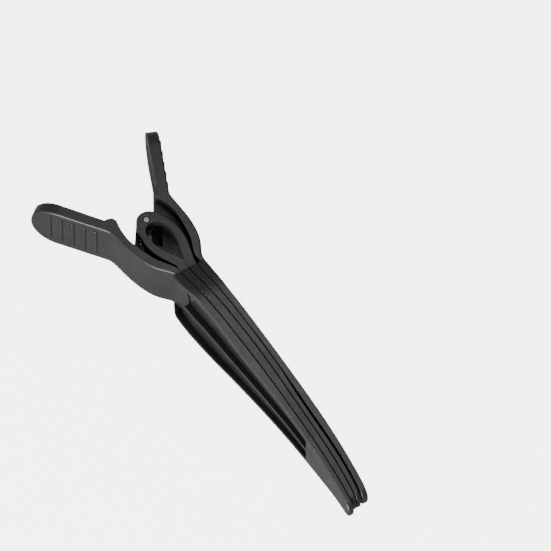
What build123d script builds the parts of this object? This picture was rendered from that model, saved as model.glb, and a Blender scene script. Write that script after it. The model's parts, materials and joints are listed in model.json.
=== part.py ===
from build123d import *
import os

# Sectioning clip (crocodile hair clip), lying on its side, jaws closed.
# Working frame: hinge pin axis at the origin, +X towards the jaw tips, +Y the side that the
# rear jaw opens to, +Z across the width. The finished parts are moved at the end, so that the
# origin lies at the bottom centre of the whole clip's box.

# ---- driving dimensions (mm) ----
HALF_WIDTH = 6.9            # half the width of the levers and of the neck
WING_HALF_WIDTH = 10.4      # half the width of the jaws at their widest
HEAD_TILT = 5.5             # the head's mirror line, turned from +X (degrees)
LEVER_ANGLE = 30.3          # each lever from the head's mirror line (degrees)
LEVER_ROOT = (-4.8, 10.7)   # outer face where the straight lever begins, in the head's frame
LEVER_LENGTH = 18.8         # straight part of the outer face, to the lever's end
LEVER_THICK = 3.1
RIB_COUNT = 5
RIB_PITCH = 3.06
RIB_FIRST = 5.1             # first rib from the lever's end
RIB_SIZE = (1.1, 10.0, 0.3)    # along the lever, across it, proud of it
WING_START = 17.2           # where the jaws begin to widen
TIP_X = 96.0                # tip of the front jaw
REAR_TIP_X = 94.9           # tip of the rear jaw
STRIP_TIP_X = 95.0          # tip of the band's strips
RIM_WIDTH = 1.4             # rim round the recess in a jaw's outer face
SPINE_WIDTH = 0.9           # thin rib along the middle of the recess
RECESS_START, RECESS_END = 18.6, 74.5
FRONT_DEPTHS = (1.8, 1.1)   # depth of the recess at its two ends
REAR_DEPTHS = (1.15, 0.9)
TONGUE_END = 23.2           # where the neck's rounded tongue ends in the recess
PIN_RADIUS = 0.85
PIN_HALF_LENGTH = 6.8
PIN_DOME = 0.25             # height of the pin's domed ends
RUNNING_CLEARANCE = 0.05    # radial, a turning ear on the pin
FIXED_CLEARANCE = 0.02      # radial, an ear that grips the pin
BAND_CLEARANCE = 0.06       # radial, the flexible band on the pin
SLOT_HALF_WIDTH = 4.6       # slot in the band's head, for the ears and the spring
SLOT_X = 3.2                # how far the slot runs towards the tips
FRONT_EAR = (2.45, 3.45)    # each ear's near and far face, from mid width
REAR_EAR = (3.55, 4.5)
EAR_RADIUS = 2.3
WIRE_DIAMETER = 0.65
COIL_RADIUS = 1.75          # to the middle of the wire
COIL_TURNS = 4              # whole turns, besides what the legs' angle adds
LEG_ANGLE = 35              # each leg from square across the jaws (degrees)
LEG_LENGTH = 6.1
COIL_LENGTH = 3.2           # between the wire's two ends, along the pin
EYE_CUT = 1.7               # half height of the hinge eye, between the band's two branches
EYE_SPLIT_X = 2.3           # where the branches' own material begins, towards the tips
MATING_GAP = 0.06           # each strip from the mating surface
GRIP_PITCH = 2.4
GRIP_GROOVE = (1.1, 0.4)    # groove between two grip ridges: width and depth
GRIP_MARGIN = 1.3           # plain border beside the grooves
GRIP_START, GRIP_END = 26, 94
STRIP_EDGE, JAW_EDGE = 0.2, 0.3     # how far the long moulded edges are broken
LONG_EDGE = 30              # edges longer than this count as long
BIG = 60.0                  # more than any size across the clip

# ---- side profiles, seen along the hinge pin ----
# The head's outlines are in the head's own frame, for the half on its +Y side.
NECK_OUTER = [(18.6, 4.1), (17.3, 4.4), (13.8, 6.45), (8.7, 8.4), (3.0, 9.1), (-1.9, 9.35), LEVER_ROOT]
NECK_INNER = [(18.6, 3.45), (16.5, 2.9), (11.9, 4.9), (7.0, 6.4), (2.5, 7.15), (-1.5, 6.8), (-4.3, 6.0)]
HEEL = [(-5.2, 6.3), (-6.2, 8.35)]      # the bump where the lever leaves the neck
BAND_OUTER = [(-2.15, 0), (-1.6, 1.75), (-0.4, 2.9), (1.6, 3.65), (4.8, 4.55), (8.2, 4.7), (11.7, 3.85),
              (15.4, 2.5)]
BAND_HOLE = [(1.5, 0), (2.2, 1.9), (5.3, 3.0), (8.7, 2.6), (12.0, 1.35), (15.2, 0)]
# Outlines of the ears' webs, from the pin's height to the neck: the rear web starts further back.
REAR_WEB = [(-2.2, 0.7), (-1.9, 3.9), (-4.4, 6.5)]
FRONT_WEB = [(-2.25, 0.5), (-1.5, 2.1), (4.4, 7.4)]
WEB_AHEAD = [(7, 7.2), (13.2, 4.9), (12.6, 3.9), (8.2, 5.0), (4.6, 4.85), (1.9, 4.0), (1.6, 1.65)]

# The jaws and strips are in the clip's frame.
FRONT_RIM = [(WING_START, -3.1), (18.3, -3.55), (20.5, -3.8), (24, -3.8), (30, -3.4), (46, -2.45),
             (66, -1.45), (80, -1.5), (90, -1.95), (TIP_X, -2.75)]
FRONT_SEAM = [(15.0, -1.05), (24, -1.35), (34, -0.8), (47, 0.1), (62, 0.35), (79, 0.15), (90, -0.4),
              (TIP_X, -1.1)]
MATING = [(15.0, 1.44), (24, 0.9), (32, 1.3), (42, 2.1), (52, 2.45), (66, 2.2), (80, 1.9), (90, 1.15),
          (TIP_X, 0.25)]
REAR_SEAM = [(15.0, 3.85), (24, 3.0), (32, 3.2), (42, 3.8), (55, 4.05), (72, 3.85), (82, 3.65), (90, 2.9),
             (TIP_X, 1.8)]
REAR_RIM = [(WING_START, 5.5), (18.7, 5.65), (21.4, 5.45), (26, 5.1), (31, 5.05), (42, 5.55), (58, 5.85),
            (73, 5.65), (84, 5.05), (92, 4.25), (TIP_X, 3.6)]
# Outer face of each neck's tongue, from where it leaves the neck.
FRONT_TONGUE = [(WING_START, -3.1), (18.0, -2.72), (18.9, -2.47), (20.5, -2.32), (24.2, -2.4)]
REAR_TONGUE = [(WING_START, 6.2), (18.4, 5.75), (19.6, 5.35), (21.4, 5.08), (24.2, 4.85)]
# Towards the tips the rear strip stands off its jaw: this is its upper side there.
REAR_STRIP_TOP = [(47, 4.2), (53, 4.0), (62, 3.45), (74, 3.15), (84, 2.85), (90, 2.25), (TIP_X, 1.2)]

# ---- plan outline of the jaws, seen square to their faces: x, half width ----
# The shoulder that the clip lies on is square, and the other one flares out of the neck.
LOW_SHOULDER = [(WING_START, 7.6), (17.7, 9.5), (19.2, WING_HALF_WIDTH)]
HIGH_SHOULDER = [(WING_START, 6.3), (20.0, 8.0), (24.0, 9.5), (29.0, WING_HALF_WIDTH)]
WING_EDGE = [(30, WING_HALF_WIDTH), (42, 8.9), (58, 7.1), (76, 5.4), (91, 3.3)]


def flip(points):
    """The same outline below the X axis."""
    return [(x, -y) for x, y in points]


def shifted(points, rise):
    """The same curve, moved along Y."""
    return [(x, y + rise) for x, y in points]


def slab(edges, half_width):
    """A closed side profile, carried across the width."""
    face = make_face(Wire(edges))
    return extrude(face, amount=half_width, both=True)


def between(lower, upper, half_width):
    """The solid between two side curves that run from the head to the tip."""
    low, high = Spline(*lower), Spline(*upper)
    ends = [Line(lower[0], upper[0]), Line(lower[-1], upper[-1])]
    return slab([low, high] + ends, half_width)


def eased(body, size):
    """The same body with its long edges broken."""
    return chamfer(body.edges().filter_by(lambda edge: edge.length > LONG_EDGE), size)


def plan_half(shoulder, inset, tip):
    """One side of the jaws' plan outline, made smaller by inset, as a prism across the jaws."""
    shoulder = [(x, w - inset) for x, w in shoulder]
    edge = [(x, w - inset) for x, w in WING_EDGE]
    nose = (tip - inset, 0)
    side = [Spline(*shoulder, tangents=[(0.4, 1), (1, 0)]), Line(shoulder[-1], edge[0])]
    side += [Spline(*edge, tangents=[(1, 0), (1, -0.16)])]
    side += [Spline(edge[-1], nose, tangents=[(1, -0.16), (0, -1)])]
    side += [Line(nose, (shoulder[0][0], 0)), Line((shoulder[0][0], 0), shoulder[0])]
    return extrude(Plane.XZ * make_face(Wire(side)), amount=BIG, both=True)


def plan_prism(inset, tip):
    """The jaws' whole plan outline, made smaller all round by inset, as a prism."""
    return plan_half(HIGH_SHOULDER, inset, tip) + mirror(plan_half(LOW_SHOULDER, inset, tip), about=Plane.XY)


def tongue_prism():
    """Plan of the neck's rounded tongue, where it runs down into the recess."""
    seam_behind = Rot(0, 0, 180) * Cylinder(1, 2 * BIG)
    oval = scale(seam_behind, by=(TONGUE_END - WING_START, HALF_WIDTH, 1))
    return Pos(WING_START, 0, 0) * Rot(90, 0, 0) * oval


def recess_field(start, end):
    """Plan of what lies inside the rims, between two distances from the hinge."""
    middle = Pos((start + end) / 2, 0, 0) * Box(end - start, 2 * BIG, 2 * WING_HALF_WIDTH)
    return plan_prism(RIM_WIDTH, TIP_X) & middle


def below_rim(rim, outward, depths):
    """Everything from a floor that follows the rim's curve, out past the rim."""
    deep, shallow = depths
    floor = []
    for x, y in rim:
        along = (x - RECESS_START) / (RECESS_END - RECESS_START)
        depth = deep + (shallow - deep) * min(max(along, 0), 1)
        floor.append((x, y - outward * depth))
    return between(floor, shifted(rim, outward * 3), WING_HALF_WIDTH + 1)


def recess(rim, outward, depths, tongue):
    """The cut in a jaw's outer face: two flutes beside a thin spine, and the neck's tongue between."""
    spine = Pos(RECESS_END, 0, 0) * Box(2 * (RECESS_END - RECESS_START), 2 * BIG, SPINE_WIDTH)
    flutes = recess_field(RECESS_START, RECESS_END) - tongue_prism() - spine
    deep_cut = below_rim(rim, outward, depths) & flutes
    over_tongue = between(tongue, shifted(tongue, outward * 3), WING_HALF_WIDTH + 1)
    return deep_cut + (over_tongue & recess_field(WING_START, TONGUE_END) & tongue_prism())


def head_half():
    """Neck and lever of the jaw on the head's +Y side."""
    run = Vector(-1, 0, 0).rotate(Axis.Z, -LEVER_ANGLE)
    inward = Vector(0, -1, 0).rotate(Axis.Z, -LEVER_ANGLE)
    outer_end = Vector(*LEVER_ROOT) + run * LEVER_LENGTH
    inner_end = outer_end + inward * LEVER_THICK
    edges = [Spline(*NECK_OUTER, tangents=[(-1, 0.5), run])]
    edges += [Line(LEVER_ROOT, outer_end), Line(outer_end, inner_end), Line(inner_end, HEEL[1])]
    edges += [Spline(HEEL[1], HEEL[0], NECK_INNER[-1]), Spline(*NECK_INNER)]
    edges += [Line(NECK_INNER[0], NECK_OUTER[0])]
    body = slab(edges, HALF_WIDTH)
    # the lever's end is a half circle in the lever's own plane
    centre = outer_end - run * HALF_WIDTH
    lever_plane = Plane(origin=centre, x_dir=run, z_dir=-inward)
    end_block = lever_plane * Pos(HALF_WIDTH, 0, 0) * Box(2 * HALF_WIDTH, 3 * HALF_WIDTH, 12)
    body -= end_block - lever_plane * Cylinder(HALF_WIDTH, 16)
    lever_edges = body.faces().sort_by(Axis(centre, run))[-1].edges()
    body = fillet(lever_edges.filter_by(GeomType.CIRCLE), 0.6)
    for number in range(RIB_COUNT):
        back = RIB_FIRST + number * RIB_PITCH
        length, width, height = RIB_SIZE
        outline = SlotOverall(width, length, rotation=90)
        rib = Pos(HALF_WIDTH - back, 0, 0) * extrude(outline, height, both=True)
        body += lever_plane * chamfer(rib.edges().group_by(Axis.Z)[-1], 0.15)
    return body


def ear_pair(lane, hole_radius, web):
    """Two side walls that carry a jaw on the pin and stiffen its neck, on the head's +Y side."""
    near, far = lane
    wall = make_face(Polyline(*web, *WEB_AHEAD, close=True))
    sketch = wall + Circle(EAR_RADIUS) - Circle(hole_radius)
    one = Pos(0, 0, near) * extrude(sketch, far - near)
    return one, mirror(one, about=Plane.XY)


def jaw(head, ears, lower, upper, rim, outward, tip, depths, tongue):
    """One moulded jaw: lever, neck, ears and the fluted beak."""
    beak = eased(between(lower, upper, WING_HALF_WIDTH + 1) & plan_prism(0, tip), JAW_EDGE)
    body = head + beak - recess(rim, outward, depths, tongue)
    tilt = Rot(0, 0, HEAD_TILT)
    for ear in ears:
        placed = ear if outward > 0 else mirror(ear, about=Plane.XZ)
        body += tilt * placed
    return body


def closed_profile(points, half_width):
    """A profile given by its upper half, from left to right, and mirrored below the X axis."""
    below = flip(points)[:0:-1]
    if points[-1][1] == 0:
        return slab([Spline(*below, *points)], half_width)
    return slab([Spline(*below, *points), Line(points[-1], below[0])], half_width)


def band_head():
    """The teardrop eye of the flexible band, slotted at mid width."""
    body = closed_profile(BAND_OUTER, HALF_WIDTH) - closed_profile(BAND_HOLE, HALF_WIDTH + 1)
    body -= Pos(SLOT_X - BIG / 2, 0, 0) * Box(BIG, BIG, 2 * SLOT_HALF_WIDTH)
    body -= Cylinder(PIN_RADIUS + BAND_CLEARANCE, 4 * HALF_WIDTH)
    return body


def branch_field(side):
    """The part of the eye that stays with one strip, on one side of the head's mirror line."""
    reach = BIG / 2
    ahead = Pos(EYE_SPLIT_X + reach, side * (reach + MATING_GAP), 0) * Box(BIG, BIG, BIG)
    beside = Pos(0, side * (EYE_CUT + reach), 0) * Box(BIG, BIG, BIG)
    return ahead + beside


def hinge_eye():
    """The band's two bosses on the pin, which twist as the jaws open."""
    field = Pos(EYE_SPLIT_X - BIG / 2, 0, 0) * Box(BIG, 2 * EYE_CUT, BIG)
    return band_head() & field


def grip_grooves():
    """Cross grooves along the mating surface, short of the strips' edges."""
    width, depth = GRIP_GROOVE
    skin = between(shifted(MATING, -depth), shifted(MATING, depth), WING_HALF_WIDTH)
    count = int((GRIP_END - GRIP_START) / GRIP_PITCH)
    slats = [Pos(GRIP_START + n * GRIP_PITCH, 0, 0) * Box(width, BIG, BIG) for n in range(count)]
    return skin & plan_prism(GRIP_MARGIN, STRIP_TIP_X) & Compound(slats)


def strip(lower, upper, side):
    """One long gripping strip of the band, with its branch of the eye."""
    plan = plan_prism(0, STRIP_TIP_X)
    root = Pos(BAND_OUTER[-1][0] + 1, 0, 0) * Box(4, BIG, 2 * HALF_WIDTH)
    body = eased(between(lower, upper, WING_HALF_WIDTH + 1) & (plan + root), STRIP_EDGE)
    body += Rot(0, 0, HEAD_TILT) * (band_head() & branch_field(side))
    return body - grip_grooves()


def hinge_pin():
    body = Cylinder(PIN_RADIUS, 2 * PIN_HALF_LENGTH)
    ends = body.edges().filter_by(GeomType.CIRCLE)
    return fillet(ends, PIN_DOME)


def torsion_spring():
    """Coil round the pin, with one leg that presses on the inside of each jaw."""
    turns = COIL_TURNS + 2 * LEG_ANGLE / 360
    helix = Helix(COIL_LENGTH / turns, COIL_LENGTH, COIL_RADIUS)
    front_end, rear_end = helix @ 0, helix @ 1
    front_tip = front_end - (helix % 0) * LEG_LENGTH
    path = Wire([Line(front_tip, front_end), helix, Line(rear_end, rear_end + (helix % 1) * LEG_LENGTH)])
    section = Plane(origin=front_tip, z_dir=helix % 0) * Circle(WIRE_DIAMETER / 2)
    return Pos(0, 0, -COIL_LENGTH / 2) * Rot(0, 0, -LEG_ANGLE) * sweep(section, path=path)


tilt = Rot(0, 0, HEAD_TILT)
stand_off = between(REAR_STRIP_TOP, shifted(REAR_STRIP_TOP, 2), WING_HALF_WIDTH + 1)
rear_head = head_half()
front_head = mirror(rear_head, about=Plane.XZ)
front_mating, rear_mating = shifted(MATING, -MATING_GAP), shifted(MATING, MATING_GAP)
front_ears = ear_pair(FRONT_EAR, PIN_RADIUS + FIXED_CLEARANCE, FRONT_WEB)
rear_ears = ear_pair(REAR_EAR, PIN_RADIUS + RUNNING_CLEARANCE, REAR_WEB)

parts = {
    "front_jaw": jaw(tilt * front_head, front_ears, FRONT_RIM, FRONT_SEAM, FRONT_RIM, -1,
                     TIP_X, FRONT_DEPTHS, FRONT_TONGUE),
    "rear_jaw": jaw(tilt * rear_head, rear_ears, REAR_SEAM, REAR_RIM, REAR_RIM, 1,
                    REAR_TIP_X, REAR_DEPTHS, REAR_TONGUE),
    "band_front_strip": strip(FRONT_SEAM, front_mating, -1),
    "band_rear_strip": strip(rear_mating, REAR_SEAM, 1) - stand_off,
    "band_hinge_eye": tilt * hinge_eye(),
    "hinge_pin": hinge_pin(),
    "torsion_spring": tilt * torsion_spring(),
}

# the origin goes to the bottom centre of the whole clip's box
box = Compound(list(parts.values())).bounding_box()
centre = box.center()
to_origin = Pos(-centre.X, -centre.Y, -box.min.Z)
print("hinge axis at", round(-centre.X, 3), round(-centre.Y, 3), "mid width at", round(-box.min.Z, 3))

os.makedirs("parts", exist_ok=True)
for name, part in parts.items():
    export_step(to_origin * part, f"parts/{name}.step")
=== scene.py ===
import json
import math

import bmesh
import bpy
from mathutils import Matrix, Vector


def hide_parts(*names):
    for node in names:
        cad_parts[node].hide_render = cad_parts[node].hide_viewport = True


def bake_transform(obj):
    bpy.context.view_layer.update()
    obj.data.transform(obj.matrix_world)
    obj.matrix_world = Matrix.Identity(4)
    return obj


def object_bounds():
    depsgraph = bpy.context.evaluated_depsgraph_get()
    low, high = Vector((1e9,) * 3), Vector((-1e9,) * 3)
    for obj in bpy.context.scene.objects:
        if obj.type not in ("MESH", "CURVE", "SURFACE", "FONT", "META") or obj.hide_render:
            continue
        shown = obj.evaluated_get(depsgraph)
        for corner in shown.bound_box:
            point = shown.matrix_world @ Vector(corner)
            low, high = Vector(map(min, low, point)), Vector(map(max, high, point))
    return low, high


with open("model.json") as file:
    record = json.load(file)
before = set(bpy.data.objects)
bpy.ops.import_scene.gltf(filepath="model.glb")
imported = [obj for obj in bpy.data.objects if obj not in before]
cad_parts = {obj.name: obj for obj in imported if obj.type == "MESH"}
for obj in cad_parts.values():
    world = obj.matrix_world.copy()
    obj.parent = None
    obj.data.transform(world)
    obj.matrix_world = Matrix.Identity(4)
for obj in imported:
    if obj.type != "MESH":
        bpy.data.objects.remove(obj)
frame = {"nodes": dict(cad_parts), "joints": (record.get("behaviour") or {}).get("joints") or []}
cad_low, cad_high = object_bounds()
nodes = frame["nodes"]

# ---- places that everything else is worked out from (metres, the clip's own frame) ----
HINGE = Vector(frame["joints"][0]["pos_m"])     # middle of the hinge pin
FLOOR_Z = cad_low.z
MM = 0.001

# ---- the head, as the CAD model has it ----
HEAD_TILT = math.radians(5.5)       # the head's mirror line, turned from +X
COIL_RADIUS = 1.75 * MM             # to the middle of the wire
WIRE_RADIUS = 0.325 * MM
COIL_LENGTH = 3.2 * MM
COIL_TURNS = 4
LEG_ANGLE = math.radians(35)
LEG_LENGTH = 6.1 * MM

# ---- the camera's place ----
VIEW_AZIMUTH, VIEW_ELEVATION = 56.8, 58.0
LENS, SENSOR = 1500.0, 36.0                     # a very long lens: the clip shows almost no perspective
FRAME_WIDTH = 0.1367                            # what the picture's width covers at the aim
AIM_FROM_HINGE = Vector((0.0314, 0.01785, 0.0069))

# ---- how bright things are ----
WORLD_STRENGTH = 0.25
FLOOR_GLOW = 5.0                                # added to the floor only where the camera sees it
FLOOR_COLOUR = (0.45, 0.45, 0.45)
TIPS = Vector((0.06, 0, 0.01))                  # what the light over the tips is aimed at

# ---- the plastic ----
PLASTIC_SPECULAR = 0.5
# painted shade in crevices, grooves and seams: darker colour and less shine where walls close in
PAINTED_CREVICE_SHADE_SPECULAR = 0.15
PAINTED_CREVICE_SHADE_COLOUR = (0.005, 0.005, 0.0055)
PAINTED_SHADE_REACH = 4 * MM                          # painted shade: how far off a wall still darkens a spot
PAINTED_SHADE_SHUT, PAINTED_SHADE_OPEN = 0.35, 0.9          # openness that counts as a crevice (full painted shade), and as open (none)
WEAR_AND_HIGHLIGHT_WIDTH = 0.22 * MM                          # pale band along the corners: partly wear, partly painted highlight
CORNER_RADIUS = 0.12 * MM
GRAIN_DEPTH = 0.03 * MM

# ---- how finely the bending pieces are divided ----
EYE_CUTS_EACH_WAY = 7
EYE_CUT_SPACING = 0.22 * MM
STEPS_IN_TURN = 36
LEG_STEPS = 6
WIRE_SIDES = 14


def view_direction(azimuth, elevation):
    """Unit vector from the clip to the camera."""
    a, e = math.radians(azimuth), math.radians(elevation)
    return Vector((math.sin(a) * math.cos(e), -math.cos(a) * math.cos(e), math.sin(e)))


def look_along(thing, place, back):
    """Puts a camera or light at a place, facing away from back."""
    thing.location = place
    thing.rotation_mode = "QUATERNION"
    thing.rotation_quaternion = (-back).to_track_quat("-Z", "Y")


# ---- camera, lights and floor ----
def make_camera():
    back = view_direction(VIEW_AZIMUTH, VIEW_ELEVATION)
    data = bpy.data.cameras.new("camera")
    data.lens, data.sensor_width = LENS, SENSOR
    data.clip_start, data.clip_end = 0.5, 50.0
    camera = bpy.data.objects.new("camera", data)
    bpy.context.scene.collection.objects.link(camera)
    distance = FRAME_WIDTH * LENS / SENSOR
    look_along(camera, HINGE + AIM_FROM_HINGE + back * distance, back)
    bpy.context.scene.camera = camera


def area_light(name, azimuth, elevation, distance, size, power, aim=(0, 0, 0)):
    """A square soft light, placed round a point as the camera is."""
    data = bpy.data.lights.new(name, "AREA")
    data.shape, data.size, data.energy = "SQUARE", size, power
    light = bpy.data.objects.new(name, data)
    bpy.context.scene.collection.objects.link(light)
    back = view_direction(azimuth, elevation)
    look_along(light, Vector(aim) + back * distance, back)


def make_floor():
    """A white sheet, bright enough in the picture to lose its own shading."""
    reach = 3.0
    mesh = bpy.data.meshes.new("floor")
    signs = ((-1, -1), (1, -1), (1, 1), (-1, 1))
    corners = [(x * reach, y * reach, FLOOR_Z) for x, y in signs]
    mesh.from_pydata(corners, [], [(0, 1, 2, 3)])
    floor = bpy.data.objects.new("floor", mesh)
    bpy.context.scene.collection.objects.link(floor)
    material, shader = plain_shader("floor_white", FLOOR_COLOUR, 0.9)
    shader.inputs["Specular IOR Level"].default_value = 0.1
    shader.inputs["Emission Color"].default_value = (1, 1, 1, 1)
    n = Nodes(material)
    seen = n.add("ShaderNodeLightPath").outputs["Is Camera Ray"]
    n.link(n.math("MULTIPLY", seen, FLOOR_GLOW), shader.inputs["Emission Strength"])
    mesh.materials.append(material)


def make_world():
    world = bpy.data.worlds.new("studio")
    world.use_nodes = True
    background = world.node_tree.nodes["Background"]
    background.inputs["Color"].default_value = (1, 1, 1, 1)
    background.inputs["Strength"].default_value = WORLD_STRENGTH
    bpy.context.scene.world = world


# ---- materials ----
def plain_shader(name, colour, roughness):
    """A new material with one Principled shader."""
    material = bpy.data.materials.new(name)
    material.use_nodes = True
    shader = material.node_tree.nodes["Principled BSDF"]
    shader.inputs["Base Color"].default_value = (*colour, 1)
    shader.inputs["Roughness"].default_value = roughness
    return material, shader


class Nodes:
    """Short ways to add shader nodes to one material."""

    def __init__(self, material):
        self.tree = material.node_tree
        self.place = self.add("ShaderNodeTexCoord").outputs["Object"]

    def add(self, kind, **inputs):
        node = self.tree.nodes.new(kind)
        for name, value in inputs.items():
            socket = node.inputs[name.replace("_", " ")]
            if isinstance(value, bpy.types.NodeSocket):
                self.tree.links.new(value, socket)
            else:
                socket.default_value = value
        return node

    def noise(self, scale, detail=3.0, roughness=0.55):
        return self.add("ShaderNodeTexNoise", Vector=self.place, Scale=scale, Detail=detail,
                        Roughness=roughness).outputs["Fac"]

    def spread(self, value, low, high, to_low, to_high):
        """Maps a value from one range to another, clamped."""
        node = self.add("ShaderNodeMapRange", Value=value)
        ends = (low, high, to_low, to_high)
        for name, end in zip(("From Min", "From Max", "To Min", "To Max"), ends):
            node.inputs[name].default_value = end
        return node.outputs["Result"]

    def blend_colours(self, factor, dark, light):
        node = self.tree.nodes.new("ShaderNodeMix")
        node.data_type = "RGBA"
        colour_a, colour_b = [s for s in node.inputs if s.type == "RGBA"]
        self.link(factor, node.inputs["Factor"])
        for socket, colour in ((colour_a, dark), (colour_b, light)):
            if isinstance(colour, bpy.types.NodeSocket):
                self.link(colour, socket)
            else:
                socket.default_value = (*colour, 1)
        return [s for s in node.outputs if s.type == "RGBA"][0]

    def math(self, operation, a, b):
        node = self.tree.nodes.new("ShaderNodeMath")
        node.operation = operation
        for socket, value in zip(node.inputs, (a, b)):
            if isinstance(value, bpy.types.NodeSocket):
                self.link(value, socket)
            else:
                socket.default_value = value
        return node.outputs["Value"]

    def edges(self, width):
        """0 on flat faces, rising to 1 on the corners within a width."""
        bevel = self.add("ShaderNodeBevel", Radius=width)
        bevel.samples = 6
        geometry = self.add("ShaderNodeNewGeometry")
        node = self.tree.nodes.new("ShaderNodeVectorMath")
        node.operation = "DOT_PRODUCT"
        self.link(bevel.outputs["Normal"], node.inputs[0])
        self.link(geometry.outputs["Normal"], node.inputs[1])
        return self.spread(node.outputs["Value"], 0.98, 0.8, 0.0, 1.0)

    def openness(self, reach):
        """1 in the open, falling in grooves and seams as deep as the reach; the mask for the painted
        shade.
        """
        return self.add("ShaderNodeAmbientOcclusion", Distance=reach).outputs["AO"]

    def bump(self, height, strength, distance, normal=None):
        node = self.add("ShaderNodeBump", Height=height, Strength=strength, Distance=distance)
        if normal is not None:
            self.link(normal, node.inputs["Normal"])
        return node.outputs["Normal"]

    def link(self, source, socket):
        self.tree.links.new(source, socket)


def moulded_plastic(name, dark, light, roughness, grain, edge_wear_and_highlight_colour):
    """Black moulded plastic: fine grain, faint clouding, paler edges that are partly wear and partly
    painted highlight, and painted shade in crevices.
    """
    material, shader = plain_shader(name, dark, roughness)
    n = Nodes(material)
    open_air = n.openness(PAINTED_SHADE_REACH)
    # painted shade: the shine drops where walls close in
    shine_under_painted_shade = n.spread(open_air, PAINTED_SHADE_SHUT, PAINTED_SHADE_OPEN, PAINTED_CREVICE_SHADE_SPECULAR, PLASTIC_SPECULAR)
    n.link(shine_under_painted_shade, shader.inputs["Specular IOR Level"])
    clouds = n.noise(160, 4)
    specks = n.noise(5200, 2)
    mottle = n.math("ADD", n.math("MULTIPLY", clouds, 0.6), n.math("MULTIPLY", specks, 0.4))
    body = n.blend_colours(n.spread(mottle, 0.38, 0.62, 0, 1), dark, light)
    # paler corners: partly rubbed wear, partly a painted highlight along the edges
    edge_wear_and_highlight = n.math("MULTIPLY", n.edges(WEAR_AND_HIGHLIGHT_WIDTH), n.spread(n.noise(420), 0.35, 0.7, 0.25, 1.0))
    body_with_edge_wear_and_highlight = n.blend_colours(edge_wear_and_highlight, body, edge_wear_and_highlight_colour)
    # painted shade: the colour goes to near black where walls close in
    shade = n.spread(open_air, PAINTED_SHADE_SHUT, PAINTED_SHADE_OPEN, 0, 1)
    n.link(n.blend_colours(shade, PAINTED_CREVICE_SHADE_COLOUR, body_with_edge_wear_and_highlight), shader.inputs["Base Color"])
    polish = n.spread(n.noise(240, 3), 0.3, 0.7, roughness - 0.07, roughness + 0.07)
    rubbed = n.math("MULTIPLY", edge_wear_and_highlight, -0.04)
    n.link(n.math("ADD", polish, rubbed), shader.inputs["Roughness"])
    rounded = n.add("ShaderNodeBevel", Radius=CORNER_RADIUS)
    rounded.samples = 6
    fine = n.bump(n.noise(7000, 2), grain, GRAIN_DEPTH, rounded.outputs["Normal"])
    n.link(n.bump(n.noise(900, 2), 0.25, GRAIN_DEPTH, fine), shader.inputs["Normal"])
    return material


def turned_steel(name, colour, roughness, centre):
    """Steel with fine rings about an axis that runs up through a centre."""
    material, shader = plain_shader(name, colour, roughness)
    shader.inputs["Metallic"].default_value = 1.0
    n = Nodes(material)
    mapping = n.add("ShaderNodeMapping", Vector=n.place, Location=-centre)
    rings = n.add("ShaderNodeTexWave", Vector=mapping.outputs["Vector"], Scale=1800.0, Distortion=1.5)
    rings.wave_type, rings.rings_direction = "RINGS", "Z"
    stain = n.noise(900, 4)
    n.link(n.blend_colours(stain, [c * 0.72 for c in colour], colour), shader.inputs["Base Color"])
    n.link(n.spread(stain, 0.3, 0.7, roughness - 0.06, roughness + 0.1), shader.inputs["Roughness"])
    n.link(n.bump(rings.outputs["Fac"], 0.15, 0.01 * MM), shader.inputs["Normal"])
    return material


def drawn_wire(name, colour, roughness):
    """Bright spring wire with a fine bumpy grain and an oily film."""
    material, shader = plain_shader(name, colour, roughness)
    shader.inputs["Metallic"].default_value = 1.0
    n = Nodes(material)
    film = n.noise(1300, 4)
    n.link(n.blend_colours(film, [c * 0.6 for c in colour], colour), shader.inputs["Base Color"])
    n.link(n.spread(film, 0.3, 0.7, roughness - 0.05, roughness + 0.12), shader.inputs["Roughness"])
    n.link(n.bump(n.noise(6000, 2), 0.2, 0.01 * MM), shader.inputs["Normal"])
    return material


# ---- pieces that bend ----
def add_object(name, mesh, material):
    piece = bpy.data.objects.new(name, mesh)
    bpy.context.scene.collection.objects.link(piece)
    mesh.materials.clear()
    mesh.materials.append(material)
    return piece


def make_hinge_eye(material):
    """The band's bosses on the pin, divided finely enough to twist with the jaws."""
    mesh = nodes["band_hinge_eye"].data.copy()
    work = bmesh.new()
    work.from_mesh(mesh)
    bmesh.ops.remove_doubles(work, verts=work.verts, dist=1e-7)
    along = Vector((-math.sin(HEAD_TILT), math.cos(HEAD_TILT), 0))
    for step in range(-EYE_CUTS_EACH_WAY, EYE_CUTS_EACH_WAY + 1):
        plane = HINGE + along * step * EYE_CUT_SPACING
        geometry = work.verts[:] + work.edges[:] + work.faces[:]
        bmesh.ops.bisect_plane(work, geom=geometry, plane_co=plane, plane_no=along, dist=1e-7)
    bmesh.ops.triangulate(work, faces=work.faces[:])
    work.to_mesh(mesh)
    work.free()
    eye = add_object("band_hinge_eye_flexible", mesh, material)
    for face in mesh.polygons:
        face.use_smooth = True
    mesh.set_sharp_from_angle(angle=math.radians(35))
    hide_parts("band_hinge_eye")
    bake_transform(eye)


def spring_route():
    """Centre line of the spring wire: leg, coil, leg, in the head's frame about the pin."""
    full_angle = COIL_TURNS * 2 * math.pi + 2 * LEG_ANGLE
    points = []
    steps = STEPS_IN_TURN * COIL_TURNS
    for i in range(steps + 1):
        share = i / steps
        angle = share * full_angle - LEG_ANGLE
        height = (share - 0.5) * COIL_LENGTH
        points.append(Vector((COIL_RADIUS * math.cos(angle), COIL_RADIUS * math.sin(angle), height)))
    first = (points[0] - points[1]).normalized()
    last = (points[-1] - points[-2]).normalized()
    front_leg = [points[0] + first * LEG_LENGTH * (LEG_STEPS - i) / LEG_STEPS for i in range(LEG_STEPS)]
    rear_leg = [points[-1] + last * LEG_LENGTH * (i + 1) / LEG_STEPS for i in range(LEG_STEPS)]
    return front_leg + points + rear_leg


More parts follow.
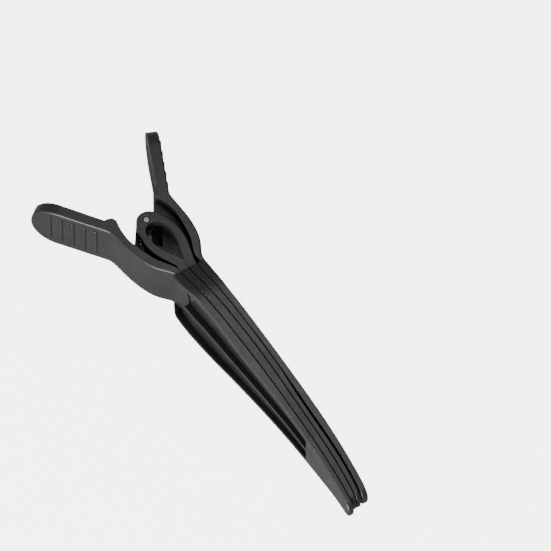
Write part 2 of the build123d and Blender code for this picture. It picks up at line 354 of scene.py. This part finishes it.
def wire_mesh(name, route, radius, sides):
    """A round wire along a route, with rounded-off ends."""
    work = bmesh.new()
    rings = []
    up = Vector((0, 0, 1))
    last = len(route) - 1
    for i, point in enumerate(route):
        heading = (route[min(i + 1, last)] - route[max(i - 1, 0)]).normalized()
        side = heading.cross(up).normalized()
        rise = side.cross(heading)
        ring = []
        for k in range(sides):
            turn = 2 * math.pi * k / sides
            ring.append(work.verts.new(point + (side * math.cos(turn) + rise * math.sin(turn)) * radius))
        rings.append(ring)
    for near, far in zip(rings, rings[1:]):
        for k in range(sides):
            work.faces.new((near[k], near[(k + 1) % sides], far[(k + 1) % sides], far[k]))
    caps = [work.faces.new(rings[0][::-1]), work.faces.new(rings[-1])]
    rims = [edge for cap in caps for edge in cap.edges]
    bmesh.ops.bevel(work, geom=rims, offset=radius * 0.35, segments=3, affect="EDGES", profile=0.5)
    bmesh.ops.recalc_face_normals(work, faces=work.faces[:])
    mesh = bpy.data.meshes.new(name)
    work.to_mesh(mesh)
    work.free()
    for face in mesh.polygons:
        face.use_smooth = True
    return mesh


def make_spring(material):
    """The torsion spring, which winds up as the jaws open; built here at rest as a coil with a leg at each
    end.
    """
    mesh = wire_mesh("spring_wire", spring_route(), WIRE_RADIUS, WIRE_SIDES)
    mesh.transform(Matrix.Translation(HINGE) @ Matrix.Rotation(HEAD_TILT, 4, "Z"))
    spring = add_object("torsion_spring_wire", mesh, material)
    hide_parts("torsion_spring")
    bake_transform(spring)


def dress(node, material):
    """Gives a CAD node its material."""
    piece = nodes[node]
    piece.data.materials.clear()
    piece.data.materials.append(material)


# ---- dress the clip and light it ----
# the last colour of each is the pale edge: partly wear, partly painted highlight
jaw_plastic = moulded_plastic("jaw_plastic", (0.013, 0.0135, 0.015), (0.021, 0.0215, 0.0235), 0.38, 0.35,
                              (0.024, 0.0245, 0.0265))
band_plastic = moulded_plastic("band_plastic", (0.012, 0.0122, 0.014), (0.019, 0.0195, 0.0215), 0.42, 0.45,
                               (0.022, 0.0225, 0.0245))
pin_steel = turned_steel("pin_steel", (0.42, 0.42, 0.43), 0.34, HINGE)
spring_steel = drawn_wire("spring_steel", (0.86, 0.86, 0.87), 0.22)

make_camera()
make_world()
make_floor()
area_light("key", VIEW_AZIMUTH - 30, 12, 0.9, 0.6, 22)
area_light("over_tips", VIEW_AZIMUTH + 180, VIEW_ELEVATION, 0.3, 0.12, 0.12, aim=TIPS)
area_light("ridge_glint", -27.6, 17, 0.9, 0.14, 1)
area_light("spring_glint", 100, 75, 0.9, 0.08, 2.0, aim=HINGE)

for jaw in ("front_jaw", "rear_jaw"):
    dress(jaw, jaw_plastic)
for strip in ("band_front_strip", "band_rear_strip"):
    dress(strip, band_plastic)
dress("hinge_pin", pin_steel)
make_hinge_eye(band_plastic)
make_spring(spring_steel)
